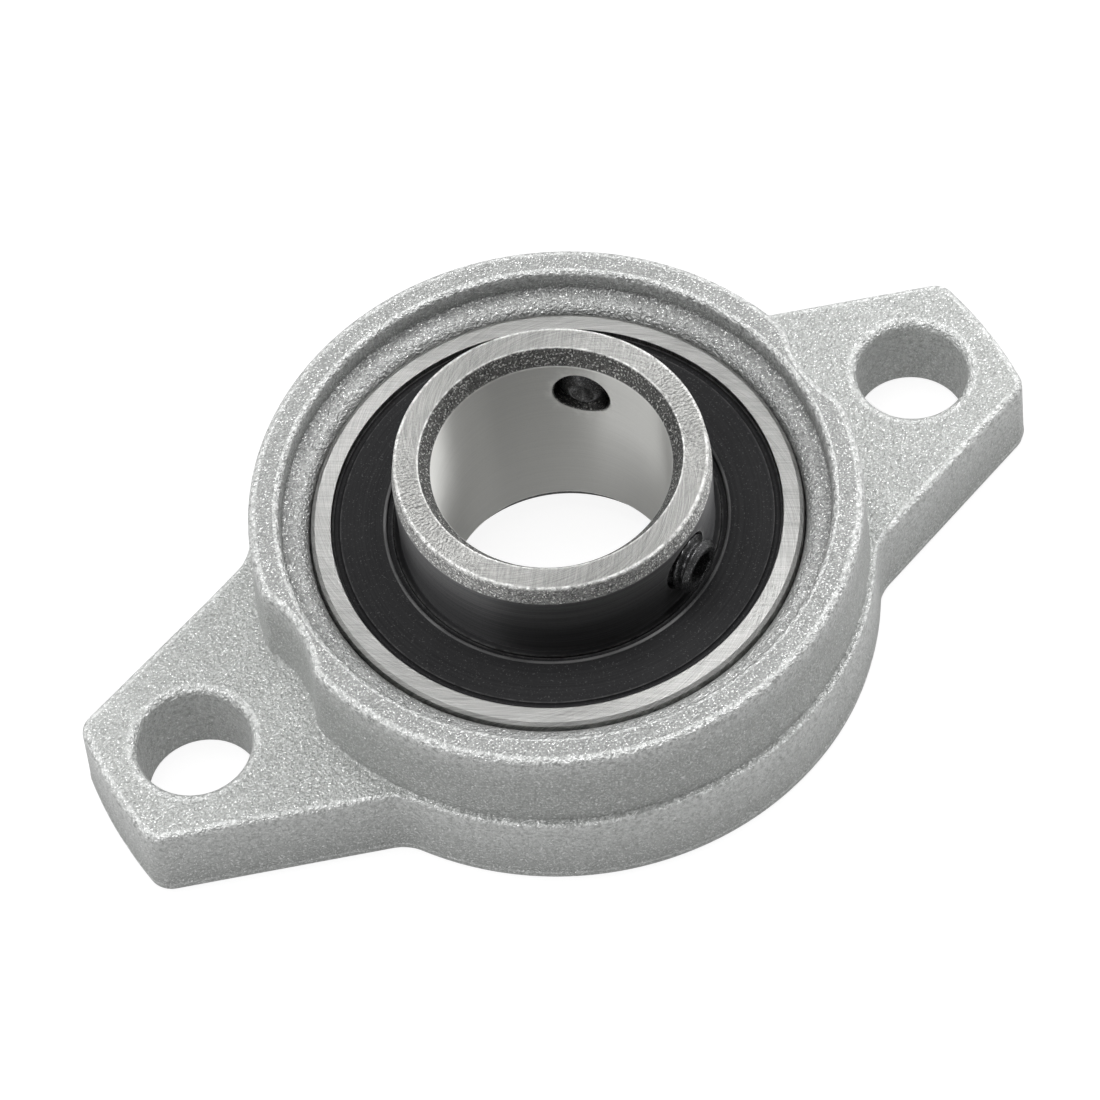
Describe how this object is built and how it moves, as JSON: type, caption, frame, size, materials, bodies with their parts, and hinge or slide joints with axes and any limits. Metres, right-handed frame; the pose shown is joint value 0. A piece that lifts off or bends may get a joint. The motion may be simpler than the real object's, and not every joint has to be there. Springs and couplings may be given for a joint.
{
  "type": "flange bearing",
  "caption": "Two-bolt flange bearing with a cast housing, a self-aligning ball bearing insert, rubber seals and set screws that lock a shaft.",
  "frame": {"origin": "on the shaft axis, at the flange's mounting face", "axes": "+Z along the shaft axis from the mounting face towards the inner ring's nose, +X through the bolt hole that lies far from the camera in the picture"},
  "size_m": [0.0656, 0.0408, 0.017],
  "materials": {
    "cast_zinc": "blasted casting",
    "ground_steel": "ground",
    "dark_steel": "black oxide with ground faces",
    "seal_rubber": "matte",
    "sheet_steel": "bright sheet",
    "ball_steel": "polished",
    "screw_steel": "black oxide"
  },
  "bodies": {
    "housing": {"housing": "cast_zinc"},
    "outer": {"outer_ring": "ground_steel", "front_seal_rubber": "seal_rubber", "front_seal_washer": "sheet_steel", "rear_seal_rubber": "seal_rubber", "rear_seal_washer": "sheet_steel"},
    "inner": {"inner_ring": "dark_steel"},
    "cage": {"cage_front": "sheet_steel", "cage_rear": "sheet_steel", "cage_rivets": "sheet_steel"},
    "ball_1": {"ball_1": "ball_steel"},
    "ball_2": {"ball_2": "ball_steel"},
    "ball_3": {"ball_3": "ball_steel"},
    "ball_4": {"ball_4": "ball_steel"},
    "ball_5": {"ball_5": "ball_steel"},
    "ball_6": {"ball_6": "ball_steel"},
    "ball_7": {"ball_7": "ball_steel"},
    "ball_8": {"ball_8": "ball_steel"},
    "ball_9": {"ball_9": "ball_steel"},
    "screw_1": {"set_screw_1": "screw_steel"},
    "screw_2": {"set_screw_2": "screw_steel"}
  },
  "joints": [
    {"name": "self_align", "type": "hinge", "parent": "housing", "child": "outer", "pos_m": [0, 0, 0.0067], "axis": [1, 0, 0], "range_deg": [-3, 3]},
    {"name": "shaft_spin", "type": "hinge", "parent": "outer", "child": "inner", "pos_m": [0, 0, 0.0067], "axis": [0, 0, 1], "continuous": true},
    {"name": "cage_spin", "type": "hinge", "parent": "outer", "child": "cage", "pos_m": [0, 0, 0.0067], "axis": [0, 0, 1], "continuous": true},
    {"name": "ball_1_spin", "type": "hinge", "parent": "cage", "child": "ball_1", "pos_m": [0.01175, 0, 0.0067], "axis": [0, 0, 1], "continuous": true},
    {"name": "ball_2_spin", "type": "hinge", "parent": "cage", "child": "ball_2", "pos_m": [0.009, 0.00755, 0.0067], "axis": [0, 0, 1], "continuous": true},
    {"name": "ball_3_spin", "type": "hinge", "parent": "cage", "child": "ball_3", "pos_m": [0.00204, 0.01157, 0.0067], "axis": [0, 0, 1], "continuous": true},
    {"name": "ball_4_spin", "type": "hinge", "parent": "cage", "child": "ball_4", "pos_m": [-0.00588, 0.01018, 0.0067], "axis": [0, 0, 1], "continuous": true},
    {"name": "ball_5_spin", "type": "hinge", "parent": "cage", "child": "ball_5", "pos_m": [-0.01104, 0.00402, 0.0067], "axis": [0, 0, 1], "continuous": true},
    {"name": "ball_6_spin", "type": "hinge", "parent": "cage", "child": "ball_6", "pos_m": [-0.01104, -0.00402, 0.0067], "axis": [0, 0, 1], "continuous": true},
    {"name": "ball_7_spin", "type": "hinge", "parent": "cage", "child": "ball_7", "pos_m": [-0.00588, -0.01018, 0.0067], "axis": [0, 0, 1], "continuous": true},
    {"name": "ball_8_spin", "type": "hinge", "parent": "cage", "child": "ball_8", "pos_m": [0.00204, -0.01157, 0.0067], "axis": [0, 0, 1], "continuous": true},
    {"name": "ball_9_spin", "type": "hinge", "parent": "cage", "child": "ball_9", "pos_m": [0.009, -0.00755, 0.0067], "axis": [0, 0, 1], "continuous": true},
    {"name": "screw_1_travel", "type": "slide", "parent": "inner", "child": "screw_1", "axis": [0.4384, -0.8988, 0], "range_m": [-0.001, 0.0012]},
    {"name": "screw_2_travel", "type": "slide", "parent": "inner", "child": "screw_2", "axis": [0.6896, 0.7242, 0], "range_m": [-0.001, 0.0012]}
  ],
  "couplings": [
    {"joint": "cage_spin", "follows": "shaft_spin", "ratio": 0.39872},
    {"joint": "ball_1_spin", "follows": "shaft_spin", "ratio": -2.3672},
    {"joint": "ball_2_spin", "follows": "shaft_spin", "ratio": -2.3672},
    {"joint": "ball_3_spin", "follows": "shaft_spin", "ratio": -2.3672},
    {"joint": "ball_4_spin", "follows": "shaft_spin", "ratio": -2.3672},
    {"joint": "ball_5_spin", "follows": "shaft_spin", "ratio": -2.3672},
    {"joint": "ball_6_spin", "follows": "shaft_spin", "ratio": -2.3672},
    {"joint": "ball_7_spin", "follows": "shaft_spin", "ratio": -2.3672},
    {"joint": "ball_8_spin", "follows": "shaft_spin", "ratio": -2.3672},
    {"joint": "ball_9_spin", "follows": "shaft_spin", "ratio": -2.3672}
  ]
}
